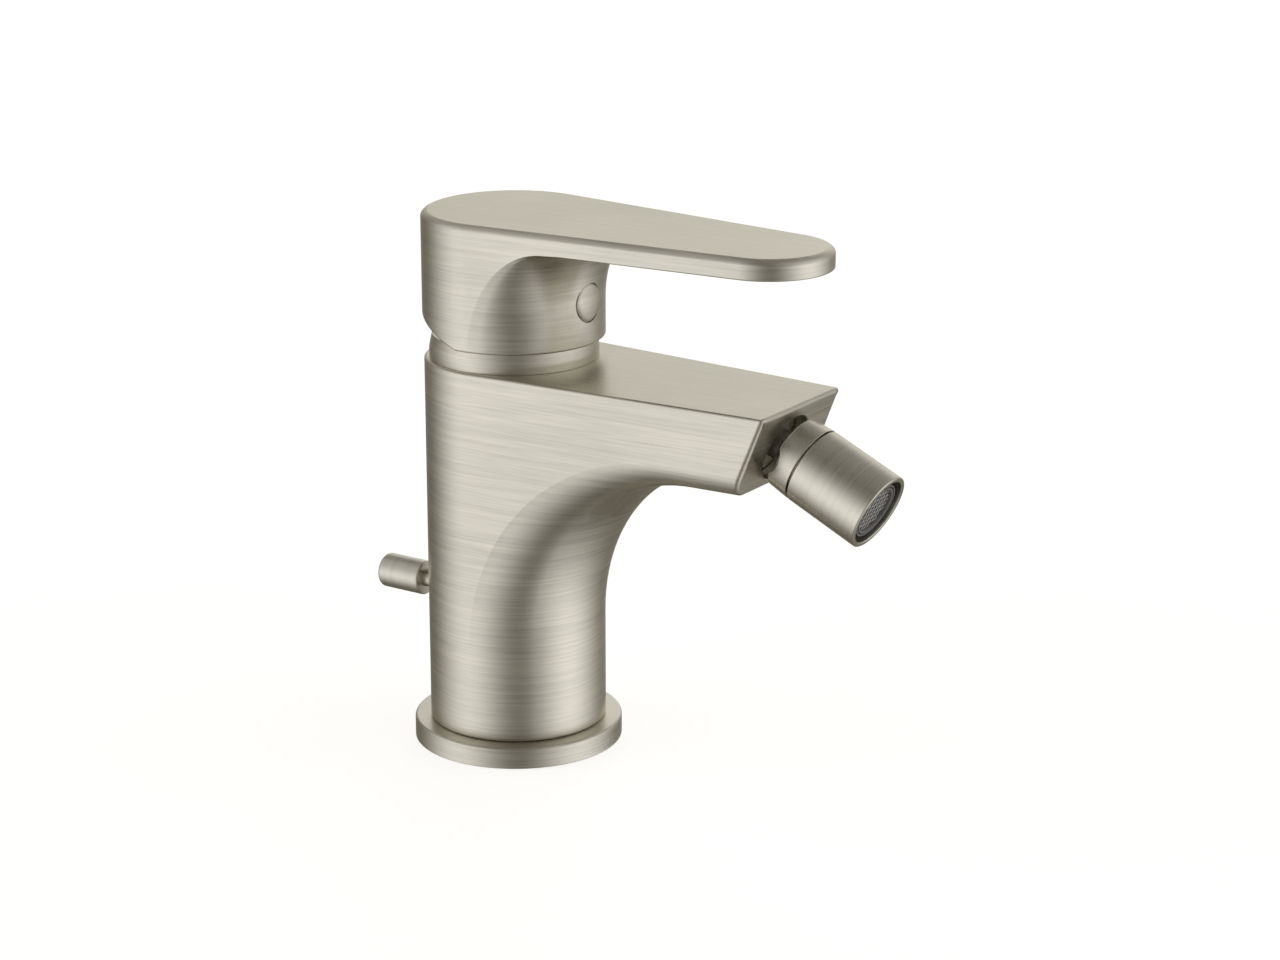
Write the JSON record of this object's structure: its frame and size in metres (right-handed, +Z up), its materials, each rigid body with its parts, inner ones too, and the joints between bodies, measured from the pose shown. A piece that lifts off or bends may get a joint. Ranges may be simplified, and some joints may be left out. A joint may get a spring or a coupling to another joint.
{
  "type": "bidet mixer",
  "caption": "Single-lever bidet mixer with a round column, a tapered spout over a lofted arch, a ball-jointed outlet with aerator and a rear pull for the pop-up waste.",
  "frame": {"origin": "on the column's axis, in the plane of the deck that the base ring stands on", "axes": "+X forward along the spout, +Y to the left seen from behind, +Z up along the column"},
  "size_m": [0.1475, 0.052, 0.1347],
  "materials": {
    "nickel": "brushed nickel plate",
    "brass": "turned",
    "steel": "plain",
    "ceramic": "lapped",
    "plastic": "moulded",
    "grey_plastic": "moulded",
    "rubber": "moulded"
  },
  "bodies": {
    "mixer_body": {"body": "nickel", "base_ring": "nickel", "base_seal": "rubber", "rod_guide": "plastic", "cartridge_base": "plastic", "port_seals": "rubber", "fixed_disc": "ceramic", "cartridge_housing": "plastic", "cartridge_nut": "brass", "cartridge_cover": "nickel", "ball_stud": "brass", "stud_oring": "rubber"},
    "rotor": {"cartridge_rotor": "plastic", "stem_pin": "steel"},
    "lever": {"lever_handle": "nickel", "lever_stem": "steel", "grub_screw": "steel", "index_cap": "nickel"},
    "disc": {"disc_carrier": "plastic", "moving_disc": "ceramic"},
    "swivel_yaw": {"ball_liner": "plastic"},
    "swivel_pitch": {"ball_seal": "rubber"},
    "nozzle": {"swivel_collar": "nickel", "nozzle_shell": "nickel", "aerator_gasket": "rubber", "aerator_sleeve": "rubber", "aerator_insert": "grey_plastic", "aerator_mesh": "steel"},
    "pull_rod": {"pull_knob": "nickel", "knob_pin": "nickel", "lift_rod": "steel"}
  },
  "joints": [
    {"name": "lever_swivel", "type": "hinge", "parent": "mixer_body", "child": "rotor", "pos_m": [0, 0, 0.097], "axis": [0, 0, 1], "range_deg": [-45, 45]},
    {"name": "lever_tilt", "type": "hinge", "parent": "rotor", "child": "lever", "pos_m": [0, 0, 0.097], "axis": [0, -1, 0], "range_deg": [0, 20]},
    {"name": "disc_slide", "type": "slide", "parent": "rotor", "child": "disc", "axis": [1, 0, 0], "range_m": [0, 0.0052]},
    {"name": "swivel_yaw", "type": "hinge", "parent": "mixer_body", "child": "swivel_yaw", "pos_m": [0.08207, 0, 0.08532], "axis": [0.3746, 0, 0.9272], "range_deg": [-14, 14]},
    {"name": "swivel_pitch", "type": "hinge", "parent": "swivel_yaw", "child": "swivel_pitch", "pos_m": [0.08207, 0, 0.08532], "axis": [0, -1, 0], "range_deg": [-11, 17]},
    {"name": "swivel_spin", "type": "hinge", "parent": "swivel_pitch", "child": "nozzle", "pos_m": [0.08207, 0, 0.08532], "axis": [0.9063, 0, -0.4226], "continuous": true},
    {"name": "pull_slide", "type": "slide", "parent": "mixer_body", "child": "pull_rod", "axis": [0, 0, 1], "range_m": [0, 0.018]}
  ],
  "couplings": [
    {"joint": "disc_slide", "follows": "lever_tilt", "m_per_rad": 0.0144}
  ]
}
